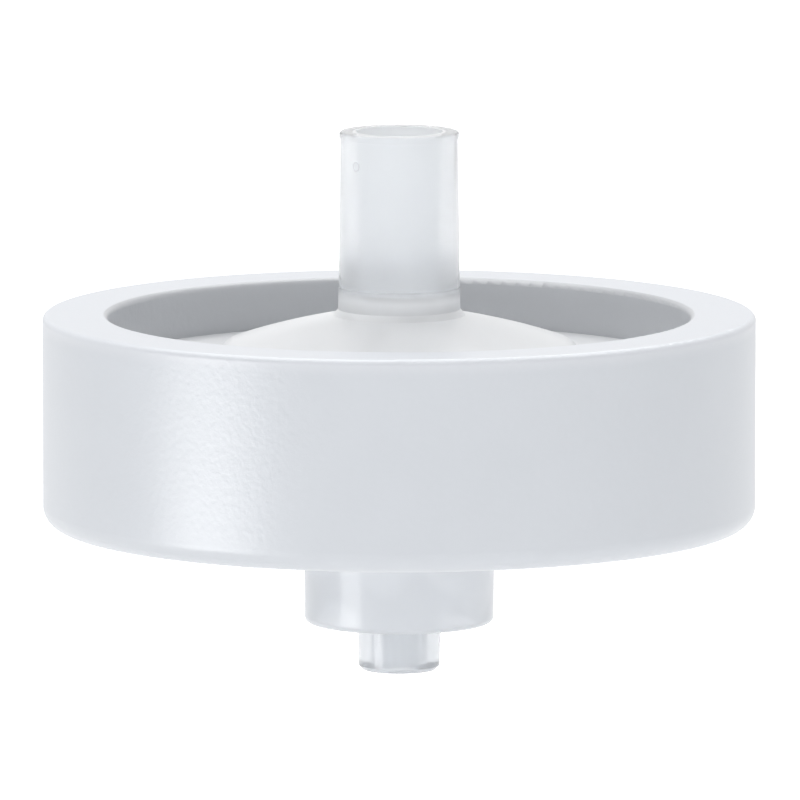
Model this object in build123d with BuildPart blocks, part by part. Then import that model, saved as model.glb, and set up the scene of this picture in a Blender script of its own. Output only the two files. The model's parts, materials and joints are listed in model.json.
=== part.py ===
from build123d import *
import math
import os

# A disc-shaped membrane adsorber with a luer socket on top and a luer lock below.
# The axis of flow is Z. The origin is the centre of the inlet's mouth, so the part hangs below it.
# All sizes are in millimetres.

# Body ring, moulded round the rims of both housings
ring_diameter = 35.0
ring_grip_wall = 1.3
ring_lip = 1.9
ring_top_fillet = 0.3
ring_foot_fillet = 1.0
ring_mouth_fillet = 0.3
ring_underside_chamfer = 0.2
inlet_recess = 2.45
outlet_recess = 1.45

# Membrane bed
membrane_thickness = 0.275
membrane_count = 15
membrane_clearance = 0.2
sealing_land = 1.4

# Inlet housing: tube, dome and rim
tube_length = 9.0
tube_mouth_diameter = 5.75
tube_draft = 0.8
tube_lip_height = 0.3
tube_lip_width = 0.06
tube_rim_chamfer = 0.08
tube_foot_chamfer = 0.25
dome_diameter = 18.6
dome_shoulder_width = 0.7
dome_rise = 2.45
dome_crown_drop = 1.43
dome_crown_radius = 36.0
dome_shoulder_fillet = 1.2
dome_foot_fillet = 0.4
dome_wall = 1.2
inlet_plate_thickness = 1.2
skirt_wall = 2.0
inlet_channel_diameter = 2.2

# Space above the bed, with its fins
inlet_gap = 0.35
fin_thickness = 0.7
fin_pairs = 6
long_fin_start = 2.6
short_fin_start = 5.2

# Outlet housing: plate, spigot and hub
outlet_plate_thickness = 1.2
spigot_height = 0.5
spigot_clearance = 0.05
outlet_channel_diameter = 1.85

# Space below the bed, with its support rings
outlet_gap = 0.4
outlet_fall = 0.3
support_ring_width = 0.6
support_ring_pitch = 2.2
support_ring_count = 4
drain_width = 1.0
drain_count = 8

# Luer cones: both taper by 6 per cent on the diameter
luer_taper = 0.06
socket_mouth_diameter = 4.28
socket_cone_depth = 7.5
socket_depth = 8.0
tip_end_diameter = 3.97
tip_reach = 2.35
tip_end_chamfer = 0.2

# Lock collar and its thread of two starts
collar_mouth_diameter = 9.29
collar_draft = 0.5
collar_drop = 4.83
collar_depth = 5.6
collar_rim_fillet = 0.3
collar_foot_chamfer = 0.25
thread_root_diameter = 8.0
thread_crest_diameter = 7.0
thread_lead = 5.0
thread_starts = 2
thread_crest_width = 0.5
thread_root_width = 1.1
thread_mouth_gap = 0.4
thread_floor_gap = 0.6
thread_bite = 0.2
thread_first_angle = 146.0

# Radii that follow from the sizes above
ring_radius = ring_diameter / 2
flange_radius = ring_radius - ring_grip_wall
opening_radius = flange_radius - ring_lip
skirt_inner_radius = flange_radius - skirt_wall
membrane_radius = skirt_inner_radius - membrane_clearance
flow_radius = membrane_radius - sealing_land
tube_mouth_radius = tube_mouth_diameter / 2
tube_widening = math.tan(math.radians(tube_draft))
tube_neck_radius = tube_mouth_radius + tube_lip_height * tube_widening
tube_foot_radius = tube_mouth_radius + tube_length * tube_widening
tube_lip_radius = tube_neck_radius + tube_lip_width
dome_foot_radius = dome_diameter / 2
dome_edge_radius = dome_foot_radius - dome_shoulder_width

# Heights that follow, from the mouth of the inlet down to the end of the tip
crown_z = -tube_length
inlet_face_z = crown_z - dome_rise
ring_top_z = inlet_face_z + inlet_recess
bed_top_z = inlet_face_z - inlet_plate_thickness
bed_bottom_z = bed_top_z - membrane_count * membrane_thickness
outlet_flange_z = bed_bottom_z - spigot_height
outlet_face_z = bed_bottom_z - outlet_plate_thickness
ring_bottom_z = outlet_face_z - outlet_recess
collar_mouth_z = ring_bottom_z - collar_drop
collar_floor_z = collar_mouth_z + collar_depth
tip_end_z = collar_mouth_z - tip_reach


def circles_at(part, radius, height):
    """The part's circular edges of this radius round the axis, at this height."""
    return part.edges().filter_by(
        lambda edge: edge.geom_type == GeomType.CIRCLE
        and abs(edge.radius - radius) < 0.001
        and abs(edge.arc_center.Z - height) < 0.001
    )


# Body ring: a C-shaped section that grips both flanges from outside, above and below
with BuildPart() as body_ring:
    with BuildSketch(Plane.XZ) as ring_section:
        with BuildLine():
            Polyline(
                (opening_radius, ring_top_z),
                (ring_radius, ring_top_z),
                (ring_radius, ring_bottom_z),
                (opening_radius, ring_bottom_z),
                (opening_radius, outlet_face_z),
                (flange_radius, outlet_face_z),
                (flange_radius, inlet_face_z),
                (opening_radius, inlet_face_z),
                close=True,
            )
        make_face()
    revolve(axis=Axis.Z)
    fillet(circles_at(body_ring.part, ring_radius, ring_top_z), ring_top_fillet)
    fillet(circles_at(body_ring.part, ring_radius, ring_bottom_z), ring_foot_fillet)
    fillet(circles_at(body_ring.part, opening_radius, ring_top_z), ring_mouth_fillet)
    chamfer(circles_at(body_ring.part, opening_radius, ring_bottom_z), ring_underside_chamfer)


# Space over the bed: a hollow under the dome that thins out towards the sealing land.
# Fins from the roof hold the top membrane down, and end level with the land.
roof_z = crown_z - dome_wall
roof_edge_z = crown_z - dome_crown_drop - dome_wall
gap_roof_z = bed_top_z + inlet_gap
with BuildPart() as distribution_space:
    with BuildSketch(Plane.XZ):
        with BuildLine():
            roof = RadiusArc(
                (inlet_channel_diameter / 2, roof_z),
                (dome_edge_radius - dome_shoulder_width, roof_edge_z),
                dome_crown_radius,
            )
            Polyline(
                roof @ 1,
                (dome_edge_radius, gap_roof_z),
                (flow_radius, gap_roof_z),
                (flow_radius, bed_top_z),
                (0, bed_top_z),
                (0, roof_z),
                roof @ 0,
            )
        make_face()
    revolve(axis=Axis.Z)
    with BuildSketch(Plane.XY.offset(bed_top_z)):
        for fin_start, first_angle in (
            (long_fin_start, 90 / fin_pairs),
            (short_fin_start, 270 / fin_pairs),
        ):
            fin_length = flow_radius - fin_start
            with PolarLocations(fin_start + fin_length / 2, fin_pairs, first_angle):
                Rectangle(fin_length, fin_thickness)
    extrude(amount=crown_z - bed_top_z, mode=Mode.SUBTRACT)


# Inlet housing: tube, dome, plate and the skirt round the membranes, in one moulding
with BuildPart() as inlet_housing:
    with BuildSketch(Plane.XZ):
        with BuildLine():
            crown = RadiusArc(
                (tube_foot_radius, crown_z),
                (dome_edge_radius, crown_z - dome_crown_drop),
                dome_crown_radius,
            )
            Polyline(
                crown @ 1,
                (dome_foot_radius, inlet_face_z),
                (flange_radius, inlet_face_z),
                (flange_radius, outlet_flange_z),
                (skirt_inner_radius, outlet_flange_z),
                (skirt_inner_radius, bed_top_z),
                (0, bed_top_z),
                (0, 0),
                (tube_lip_radius, 0),
                (tube_lip_radius, -tube_lip_height),
                (tube_neck_radius, -tube_lip_height),
                crown @ 0,
            )
        make_face()
    revolve(axis=Axis.Z)
    fillet(
        circles_at(inlet_housing.part, dome_edge_radius, crown_z - dome_crown_drop),
        dome_shoulder_fillet,
    )
    fillet(circles_at(inlet_housing.part, dome_foot_radius, inlet_face_z), dome_foot_fillet)
    chamfer(circles_at(inlet_housing.part, tube_foot_radius, crown_z), tube_foot_chamfer)
    chamfer(circles_at(inlet_housing.part, tube_lip_radius, 0), tube_rim_chamfer)
    with BuildSketch(Plane.XZ):
        with BuildLine():
            socket_end_radius = (socket_mouth_diameter - luer_taper * socket_cone_depth) / 2
            Polyline(
                (0, 0),
                (socket_mouth_diameter / 2, 0),
                (socket_end_radius, -socket_cone_depth),
                (socket_end_radius, -socket_depth),
                (0, -socket_depth),
                close=True,
            )
        make_face()
    revolve(axis=Axis.Z, mode=Mode.SUBTRACT)
    with BuildSketch(Plane.XY.offset(bed_top_z)):
        Circle(inlet_channel_diameter / 2)
    extrude(amount=-socket_depth - bed_top_z, mode=Mode.SUBTRACT)
    add(distribution_space.part, mode=Mode.SUBTRACT)


# Space under the bed: a shallow cone that falls to the outlet channel.
# Broken rings stand in it, level with the land, and carry the bottom membrane.
outlet_rim_z = bed_bottom_z - outlet_gap
outlet_well_z = outlet_rim_z - outlet_fall
with BuildPart() as collection_space:
    with BuildSketch(Plane.XZ):
        with BuildLine():
            Polyline(
                (0, bed_bottom_z),
                (flow_radius, bed_bottom_z),
                (flow_radius, outlet_rim_z),
                (outlet_channel_diameter / 2, outlet_well_z),
                (0, outlet_well_z),
                close=True,
            )
        make_face()
    revolve(axis=Axis.Z)
    with BuildSketch(Plane.XY.offset(bed_bottom_z)):
        for ring_number in range(1, support_ring_count + 1):
            ring_middle = flow_radius - ring_number * support_ring_pitch
            Circle(ring_middle + support_ring_width / 2)
            Circle(ring_middle - support_ring_width / 2, mode=Mode.SUBTRACT)
        with PolarLocations(flow_radius / 2, drain_count):
            Rectangle(flow_radius, drain_width, mode=Mode.SUBTRACT)
    extrude(amount=outlet_well_z - bed_bottom_z, mode=Mode.SUBTRACT)


# Lock thread: each start is one ridge that climbs the collar's bore, with its root sunk in the wall
thread_height = collar_depth - thread_mouth_gap - thread_floor_gap - thread_root_width
thread_root_radius = thread_root_diameter / 2
thread_crest_radius = thread_crest_diameter / 2
thread_start_z = collar_mouth_z + thread_mouth_gap + thread_root_width / 2
with BuildPart() as thread_ridge:
    with BuildLine() as ridge_path:
        Helix(thread_lead, thread_height, thread_root_radius, center=(0, 0, thread_start_z))
    with BuildSketch(
        Plane(ridge_path.line @ 0, x_dir=(1, 0, 0), z_dir=ridge_path.line % 0)
    ):
        with BuildLine():
            Polyline(
                (thread_bite, -thread_root_width / 2),
                (thread_bite, thread_root_width / 2),
                (0, thread_root_width / 2),
                (thread_crest_radius - thread_root_radius, thread_crest_width / 2),
                (thread_crest_radius - thread_root_radius, -thread_crest_width / 2),
                (0, -thread_root_width / 2),
                close=True,
            )
        make_face()
    sweep(path=ridge_path.line, is_frenet=True)


# Outlet housing: plate, spigot, hub, lock collar and luer tip, in one moulding
collar_climb = math.tan(math.radians(collar_draft))
collar_mouth_radius = collar_mouth_diameter / 2
collar_foot_radius = collar_mouth_radius + (outlet_face_z - collar_mouth_z) * collar_climb
spigot_radius = skirt_inner_radius - spigot_clearance
tip_root_radius = (tip_end_diameter + luer_taper * (collar_depth + tip_reach)) / 2
with BuildPart() as outlet_housing:
    with BuildSketch(Plane.XZ):
        with BuildLine():
            Polyline(
                (0, bed_bottom_z),
                (spigot_radius, bed_bottom_z),
                (spigot_radius, outlet_flange_z),
                (flange_radius, outlet_flange_z),
                (flange_radius, outlet_face_z),
                (collar_foot_radius, outlet_face_z),
                (collar_mouth_radius, collar_mouth_z),
                (thread_root_radius, collar_mouth_z),
                (thread_root_radius, collar_floor_z),
                (tip_root_radius, collar_floor_z),
                (tip_end_diameter / 2, tip_end_z),
                (0, tip_end_z),
                close=True,
            )
        make_face()
    revolve(axis=Axis.Z)
    chamfer(
        circles_at(outlet_housing.part, collar_foot_radius, outlet_face_z),
        collar_foot_chamfer,
    )
    fillet(
        circles_at(outlet_housing.part, collar_mouth_radius, collar_mouth_z),
        collar_rim_fillet,
    )
    chamfer(circles_at(outlet_housing.part, tip_end_diameter / 2, tip_end_z), tip_end_chamfer)
    with BuildSketch(Plane.XY.offset(tip_end_z)):
        Circle(outlet_channel_diameter / 2)
    extrude(amount=bed_bottom_z - tip_end_z, mode=Mode.SUBTRACT)
    add(collection_space.part, mode=Mode.SUBTRACT)
    with PolarLocations(0, thread_starts, start_angle=thread_first_angle):
        add(thread_ridge.part)


# Membranes: loose discs, stacked face to face between the two plates
membranes = []
for number in range(1, membrane_count + 1):
    with BuildPart() as membrane:
        with BuildSketch(Plane.XY.offset(bed_top_z - number * membrane_thickness)):
            Circle(membrane_radius)
        extrude(amount=membrane_thickness)
    membrane.part.label = f"membrane_{number:02d}"
    membranes.append(membrane.part)


body_ring.part.label = "body_ring"
inlet_housing.part.label = "inlet_housing"
outlet_housing.part.label = "outlet_housing"

os.makedirs("parts", exist_ok=True)
export_step(body_ring.part, "parts/body_ring.step")
export_step(inlet_housing.part, "parts/inlet_housing.step")
export_step(outlet_housing.part, "parts/outlet_housing.step")
for membrane_disc in membranes:
    export_step(membrane_disc, f"parts/{membrane_disc.label}.step")
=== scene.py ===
# %% [markdown]
# A disposable membrane adsorber, seen from the front and a little from above.
# The part is a stack of three mouldings: a milky ring that clamps two cloudy, see-through housings.
# Fifteen white membranes lie between the housings and show dimly through them.
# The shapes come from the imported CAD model, so this lesson is about materials, light and camera.
# Everything is in metres, with Z along the flow and the origin at the mouth of the upper tube.

# %% Load the frame
import json
import math

import bpy
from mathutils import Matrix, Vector


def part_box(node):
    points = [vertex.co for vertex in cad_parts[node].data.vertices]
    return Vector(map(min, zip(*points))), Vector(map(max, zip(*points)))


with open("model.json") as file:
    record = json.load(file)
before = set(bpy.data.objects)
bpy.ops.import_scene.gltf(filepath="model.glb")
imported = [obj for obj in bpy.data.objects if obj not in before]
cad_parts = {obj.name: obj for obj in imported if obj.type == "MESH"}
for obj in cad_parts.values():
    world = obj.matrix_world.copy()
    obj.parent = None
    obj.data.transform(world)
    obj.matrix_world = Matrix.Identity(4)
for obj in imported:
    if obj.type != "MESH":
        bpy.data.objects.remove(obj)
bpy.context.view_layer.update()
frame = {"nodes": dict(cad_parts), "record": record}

print("nodes in the frame:", len(frame["nodes"]))

# %% [markdown]
# The scene needs a few sizes of the real object, such as where the ring's top lies.
# They could be typed in, but then they would go stale when the CAD model changes.
# So they are read from the boxes of the CAD nodes, and the rest is counted from those.

# %% Read the main sizes from the frame
MM = 0.001
ring_low, ring_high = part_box("body_ring")
inlet_low, inlet_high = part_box("inlet_housing")
outlet_low, outlet_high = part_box("outlet_housing")
ring_radius = ring_high.x
ring_top = ring_high.z
ring_bottom = ring_low.z
mouth_height = inlet_high.z
tip_height = outlet_low.z
print("ring diameter, mm:", round(2 * ring_radius / MM, 2))
print("ring top and bottom, mm:", round(ring_top / MM, 2), round(ring_bottom / MM, 2))
print("mouth and tip, mm:", round(mouth_height / MM, 2), round(tip_height / MM, 2))

# %% Name the places where a finish changes
ring_opening = ring_radius - 3.0 * MM
tube_foot = ring_top + 0.25 * MM
socket_end = ring_top + 1.1 * MM
tube_bore = 2.3 * MM
lock_top = ring_bottom + 1.35 * MM
tip_radius = 2.55 * MM
channel_radius = 1.15 * MM
print("tube's foot and lock's top, mm:", round(tube_foot / MM, 2), round(lock_top / MM, 2))

# %% [markdown]
# Materials are made of nodes, and a formula such as 1 - mask takes a node for each sign.
# Placing those by hand is slow to write and hard to read.
# This class wraps a node's output, and Python's own + - * / then add the Math nodes.


# %% Let Python's arithmetic add Math nodes
class Wire:
    """A number that changes over the surface: one output of a node."""

    def __init__(self, recipe, output):
        self.recipe = recipe
        self.output = output

    def __add__(self, other):
        return self.recipe.math("ADD", self, other)

    def __radd__(self, other):
        return self.recipe.math("ADD", other, self)

    def __sub__(self, other):
        return self.recipe.math("SUBTRACT", self, other)

    def __rsub__(self, other):
        return self.recipe.math("SUBTRACT", other, self)

    def __mul__(self, other):
        return self.recipe.math("MULTIPLY", self, other)

    def __rmul__(self, other):
        return self.recipe.math("MULTIPLY", other, self)

    def __pow__(self, other):
        return self.recipe.math("POWER", self, other)


print("wires know", "+ - * **")

# %% [markdown]
# All other nodes come from one method, so each material reads like a recipe.
# It takes the node's type, its settings, and what goes into its sockets.
# A setting can change which sockets a node has, so the settings are made first.


# %% One method that makes every node
class Recipe:
    """The nodes of one material, or of the world."""

    def __init__(self, tree):
        self.tree = tree
        self.tree.nodes.clear()

    def node(self, kind, settings=None, values=None, output=None):
        made = self.tree.nodes.new(kind)
        for name, setting in (settings or {}).items():
            if name == "stops":
                for stop, (place, colour) in zip(made.color_ramp.elements, setting):
                    stop.position = place
                    stop.color = (*colour, 1.0)
            else:
                setattr(made, name, setting)
        for name, value in (values or {}).items():
            socket = self.find(made.inputs, name)
            if isinstance(value, Wire):
                self.tree.links.new(value.output, socket)
            elif socket.type == "RGBA":
                socket.default_value = (*value, 1.0)
            else:
                socket.default_value = value
        if not made.outputs:
            return made
        return Wire(self, self.find(made.outputs, output))

    def find(self, sockets, name):
        """The socket of that name or number, among those that the node's settings leave in use."""
        in_use = [socket for socket in sockets if socket.enabled]
        if name is None:
            return in_use[0]
        if isinstance(name, int):
            return in_use[name]
        return next(socket for socket in in_use if socket.name == name)

    def math(self, operation, first, second):
        return self.node("ShaderNodeMath", {"operation": operation}, {0: first, 1: second})


def new_recipe(name):
    """An empty material of that name, with its recipe."""
    material = bpy.data.materials.new(name)
    material.use_nodes = True
    return material, Recipe(material.node_tree)


print("recipes are ready")

# %% [markdown]
# Three small steps turn up in every finish: where a point is, a soft edge and a blend of two colours.
# The object's own coordinates are used, because a pattern in them stays put when the camera moves.
# Colours are blended by a Mix node, as a Math node would turn them grey.


# %% Places, soft edges and blends
def place(recipe):
    """The point's x, y and z, in metres, and its distance from the flow axis."""
    point = recipe.node("ShaderNodeTexCoord", output="Object")
    x = recipe.node("ShaderNodeSeparateXYZ", values={"Vector": point}, output="X")
    y = recipe.node("ShaderNodeSeparateXYZ", values={"Vector": point}, output="Y")
    z = recipe.node("ShaderNodeSeparateXYZ", values={"Vector": point}, output="Z")
    return point, x, y, z, (x * x + y * y) ** 0.5


def ramp(recipe, value, start, end):
    """0 before start, 1 after end and a smooth climb between them."""
    return recipe.node(
        "ShaderNodeMapRange",
        {"interpolation_type": "SMOOTHSTEP"},
        {"Value": value, "From Min": start, "From Max": end},
    )


def under(recipe, value, limit, softness=0.1 * MM):
    """1 under the limit and 0 over it, with an edge as wide as the softness."""
    return 1 - ramp(recipe, value, limit - softness / 2, limit + softness / 2)


def blend(recipe, factor, first, second):
    """The first colour where the factor is 0, and the second where it is 1."""
    return recipe.node(
        "ShaderNodeMix",
        {"data_type": "RGBA"},
        {"Factor": factor, "A": first, "B": second},
    )


def noise(recipe, point, size, detail=2.0):
    """Soft blotches of about this size, in metres."""
    return recipe.node(
        "ShaderNodeTexNoise",
        values={"Vector": point, "Scale": 1 / size, "Detail": detail},
    )


print("helpers are ready")

# %% [markdown]
# The ring is moulded in milky white polypropylene: a soft gloss, and a faint blue in its white.
# Up close the moulding is not even: it has cloudy patches a few millimetres wide, and a fine grain.
# Both come from noise, one into the colour and one into a bump.
# The ring's upper edge is painted paler, as painted light on the rim, and the wall of its opening is
# painted darker, as painted shade in the recess.

# %% Milky polypropylene
milky, recipe = new_recipe("milky_polypropylene")
point, x, y, z, radius = place(recipe)
clouds = noise(recipe, point, 5 * MM)
grain = noise(recipe, point, 0.35 * MM, detail=4.0)
painted_light_on_upper_edge = 1 - under(recipe, z, ring_top - 0.55 * MM, 0.7 * MM)
painted_shade_in_opening = under(recipe, radius, ring_opening)
milky_colour = blend(recipe, clouds, (0.67, 0.70, 0.745), (0.71, 0.74, 0.785))
# painted light: the upper edge of the ring gets a paler colour
milky_colour = blend(recipe, painted_light_on_upper_edge, milky_colour, (0.74, 0.765, 0.81))
# painted shade: the wall of the opening gets a darker, greyer colour
milky_colour = blend(recipe, painted_shade_in_opening, milky_colour, (0.58, 0.595, 0.62))
milky_bump = recipe.node(
    "ShaderNodeBump",
    values={"Height": grain, "Strength": 0.35, "Distance": 0.05 * MM},
)
milky_surface = recipe.node(
    "ShaderNodeBsdfPrincipled",
    values={
        "Base Color": milky_colour,
        "Roughness": 0.32 + 0.1 * clouds,
        "Specular IOR Level": 1.0,
        "Normal": milky_bump,
        "IOR": 1.49,
    },
)
recipe.node("ShaderNodeOutputMaterial", values={"Surface": milky_surface})
print("milky polypropylene:", len(milky.node_tree.nodes), "nodes")

# %% [markdown]
# The housings are the same plastic without the white pigment, so light goes in and is blurred.
# Glass alone would look too clear, and plain white too solid, so a Mix Shader joins the two.
# How much of the cloudy one shows depends on how thick the plastic is.
# The tube's outside is nearly clear, its bore is frosted, and the thick dome and lock are cloudy.
# So first the places are told apart, by height and by distance from the flow axis.

# %% Zones of the housings
clear, recipe = new_recipe("clear_polypropylene")
point, x, y, z, radius = place(recipe)
in_dome = under(recipe, z, tube_foot)
at_root = under(recipe, z, socket_end, 0.8 * MM)
in_lock = under(recipe, z, lock_top)
in_bore = under(recipe, radius, tube_bore) * (1 - in_dome)
in_tip = under(recipe, radius, tip_radius) * in_lock
in_channel = under(recipe, radius, channel_radius) * in_lock
print("zones: tube, bore, root, dome, lock, tip and channel")

# %% [markdown]
# A moulded tube keeps a small round mark where the plastic was let into the mould.
# It is a soft disc in the finish, made from the distance to one point on the tube.

# %% Gate mark on the tube
gate_place = (-2.06 * MM, -1.92 * MM, mouth_height - 1.52 * MM)
gate_radius = 0.21 * MM
from_gate = recipe.node(
    "ShaderNodeVectorMath", {"operation": "DISTANCE"}, {0: point, 1: gate_place}, "Value"
)
gate = under(recipe, from_gate, gate_radius, 0.18 * MM)
print("gate mark, mm:", [round(c / MM, 2) for c in gate_place])

# %% [markdown]
# Now each place adds its share of cloud, and the cloud gets its colour.
# The lock is a little greyer than the tube, with faint patches where its thread lies behind the wall.

# %% Clear polypropylene
tube_cloud = 0.2 + 0.4 * in_bore + 0.6 * at_root
lock_cloud = 0.2 * in_channel - 0.05 * in_lock - 0.3 * in_tip
cloud = tube_cloud + lock_cloud + 0.3 * gate
patches = ramp(recipe, noise(recipe, point, 2.4 * MM, detail=0.0), 0.4, 0.65)
lock_colour = blend(recipe, patches, (0.82, 0.85, 0.895), (0.87, 0.90, 0.945))
cloud_colour = blend(recipe, in_lock, (0.965, 0.98, 1.0), lock_colour)
cloud_colour = blend(recipe, 0.6 * gate, cloud_colour, (0.55, 0.57, 0.6))
glassy = recipe.node(
    "ShaderNodeBsdfPrincipled",
    values={
        "Base Color": (0.96, 0.98, 1.0),
        "Roughness": 0.08,
        "Transmission Weight": 1.0,
        "IOR": 1.49,
    },
)
cloudy = recipe.node(
    "ShaderNodeBsdfPrincipled",
    values={"Base Color": cloud_colour, "Roughness": 0.35, "IOR": 1.49},
)
clear_surface = recipe.node("ShaderNodeMixShader", values={0: cloud, 1: glassy, 2: cloudy})
recipe.node("ShaderNodeOutputMaterial", values={"Surface": clear_surface})
print("clear polypropylene:", len(clear.node_tree.nodes), "nodes")

# %% [markdown]
# The membranes are porous white sheets, dull as blotting paper.
# Only their brightness shows through the housings, so a fine noise stands for the pores.

# %% Cellulose membrane
membrane, recipe = new_recipe("cellulose_membrane")
point, x, y, z, radius = place(recipe)
pores = noise(recipe, point, 0.15 * MM, detail=4.0)
membrane_bump = recipe.node(
    "ShaderNodeBump",
    values={"Height": pores, "Strength": 0.4, "Distance": 0.03 * MM},
)
membrane_surface = recipe.node(
    "ShaderNodeBsdfPrincipled",
    values={
        "Base Color": blend(recipe, pores, (0.88, 0.88, 0.86), (0.96, 0.96, 0.94)),
        "Roughness": 0.9,
        "Normal": membrane_bump,
    },
)
recipe.node("ShaderNodeOutputMaterial", values={"Surface": membrane_surface})
print("cellulose membrane:", len(membrane.node_tree.nodes), "nodes")

# %% [markdown]
# Each CAD node keeps its shape and gets its finish.
# The record says which finish a node has, so nothing is listed twice.

# %% Dress the CAD nodes
finishes = {
    "milky_polypropylene": milky,
    "clear_polypropylene": clear,
    "cellulose_membrane": membrane,
}
for subpart in frame["record"]["subparts"]:
    node = frame["nodes"][subpart["node"]]
    node.material_slots[0].material = finishes[subpart["material_slot"]]
    print(subpart["node"], "is", subpart["material_slot"])

# %% [markdown]
# The floor is pale and plain. It lies well below the tip, because the part hangs on its lines.
# It catches a shadow as any floor does. For the camera it also glows a little, up to white.

# %% Floor
floor_drop = 0.06
floor_size = 6.0
bpy.ops.mesh.primitive_plane_add(size=floor_size, location=(0, 0, tip_height - floor_drop))
floor = bpy.context.object
floor.name = "floor"
floor_finish, recipe = new_recipe("floor_white")
seen_by_camera = recipe.node("ShaderNodeLightPath", output="Is Camera Ray")
seen_in_gloss = recipe.node("ShaderNodeLightPath", output="Is Glossy Ray")
seen_through = recipe.node("ShaderNodeLightPath", output="Is Transmission Ray")
seen = recipe.math("MINIMUM", seen_by_camera + seen_in_gloss + seen_through, 1.0)
matt = recipe.node("ShaderNodeBsdfDiffuse", values={"Color": (0.8, 0.8, 0.8)})
glow = recipe.node(
    "ShaderNodeEmission", values={"Color": (1.0, 1.0, 1.0), "Strength": 0.8 * seen}
)
floor_surface = recipe.node("ShaderNodeAddShader", values={0: matt, 1: glow})
recipe.node("ShaderNodeOutputMaterial", values={"Surface": floor_surface})
floor.data.materials.append(floor_finish)
print("floor height, mm:", round(floor.location.z / MM, 1))

# %% [markdown]
# The world is the studio's white walls. They light the part only dimly, so that the lamps can shape it.
# To the camera, in gloss and through clear plastic they are plain white, at a strength of 1.

# %% World
world = bpy.data.worlds.new("studio")
bpy.context.scene.world = world
world.use_nodes = True
recipe = Recipe(world.node_tree)
seen_by_camera = recipe.node("ShaderNodeLightPath", output="Is Camera Ray")
seen_in_gloss = recipe.node("ShaderNodeLightPath", output="Is Glossy Ray")
seen_through = recipe.node("ShaderNodeLightPath", output="Is Transmission Ray")
seen = recipe.math("MINIMUM", seen_by_camera + seen_in_gloss + seen_through, 1.0)
wall_level = 0.25
walls = recipe.node(
    "ShaderNodeBackground",
    values={"Color": (1.0, 1.0, 1.0), "Strength": wall_level + (1 - wall_level) * seen},
)
recipe.node("ShaderNodeOutputWorld", values={"Surface": walls})
print("world level:", wall_level)

# %% [markdown]
# Large soft lamps light the part. The one overhead stands a little behind it.
# It makes the dome and the rim bright and leaves the ring's inner wall dim, as in the photograph.
# Three long strips light the wall of the ring from the front and the sides.
# They stay under the rim's height, so that they don't shine into the ring's opening.
# They are kept out of reflections, because a strip would mirror as a hard bright line.
# The two at the sides aren't seen through clear plastic either, where they would hide the tube's walls.
# A small box low on the left shows only in gloss, and puts a broad, faint sheen on the ring.


# %% Lamps
def add_lamp(name, location, target, width, height, level, hidden_from=()):
    """A soft rectangular lamp that faces the target. Its level is the radiance of its face."""
    light = bpy.data.lights.new(name, "AREA")
    light.shape = "RECTANGLE"
    light.size = width
    light.size_y = height
    light.energy = level * math.pi * width * height
    lamp = bpy.data.objects.new(name, light)
    lamp.location = location
    lamp.rotation_euler = (Vector(target) - Vector(location)).to_track_quat("-Z", "Y").to_euler()
    bpy.context.scene.collection.objects.link(lamp)
    lamp.visible_diffuse = "diffuse" not in hidden_from
    lamp.visible_glossy = "glossy" not in hidden_from
    lamp.visible_transmission = "transmission" not in hidden_from
    print(name, "gives", round(light.energy, 3), "W")
    return lamp


middle = (0.0, 0.0, (ring_top + ring_bottom) / 2)
strip_height = -0.018
strip_target = (0.0, 0.0, strip_height)
no_gloss = ("glossy",)
only_matt = ("glossy", "transmission")
only_gloss = ("diffuse", "transmission")
add_lamp("overhead", (-0.05, 0.12, 0.55), middle, 0.9, 0.6, 2.25)
add_lamp("front_strip", (0.0, -0.5, strip_height), strip_target, 1.2, 0.055, 6.0, no_gloss)
for side, name in ((-1, "left_strip"), (1, "right_strip")):
    place_of_strip = (0.5 * side, -0.2, strip_height)
    add_lamp(name, place_of_strip, strip_target, 0.3, 0.055, 8.0, only_matt)
add_lamp("left_box", (-0.105, -0.06, -0.045), middle, 0.06, 0.045, 5.0, only_gloss)

# %% [markdown]
# The photograph was taken from far away with a long lens, a little above the ring.
# The lens follows from how many pixels a millimetre takes in the picture.

# %% Camera
picture_width = 800
pixels_per_metre = 20370
camera_distance = 0.8
camera_elevation = math.radians(7.66)
target_drop = 4.28 * MM
target_shift = 0.04 * MM
target = Vector((target_shift, 0.0, ring_top - target_drop))
away = Vector((0.0, -math.cos(camera_elevation), math.sin(camera_elevation)))
lens = bpy.data.cameras.new("camera")
lens.sensor_width = 36.0
lens.lens = lens.sensor_width * pixels_per_metre * camera_distance / picture_width
lens.clip_end = 100.0
camera = bpy.data.objects.new("camera", lens)
camera.location = target + camera_distance * away
camera.rotation_euler = (-away).to_track_quat("-Z", "Y").to_euler()
bpy.context.scene.collection.objects.link(camera)
bpy.context.scene.camera = camera
bpy.context.scene.view_settings.view_transform = "Standard"
print("lens, mm:", round(lens.lens, 1))
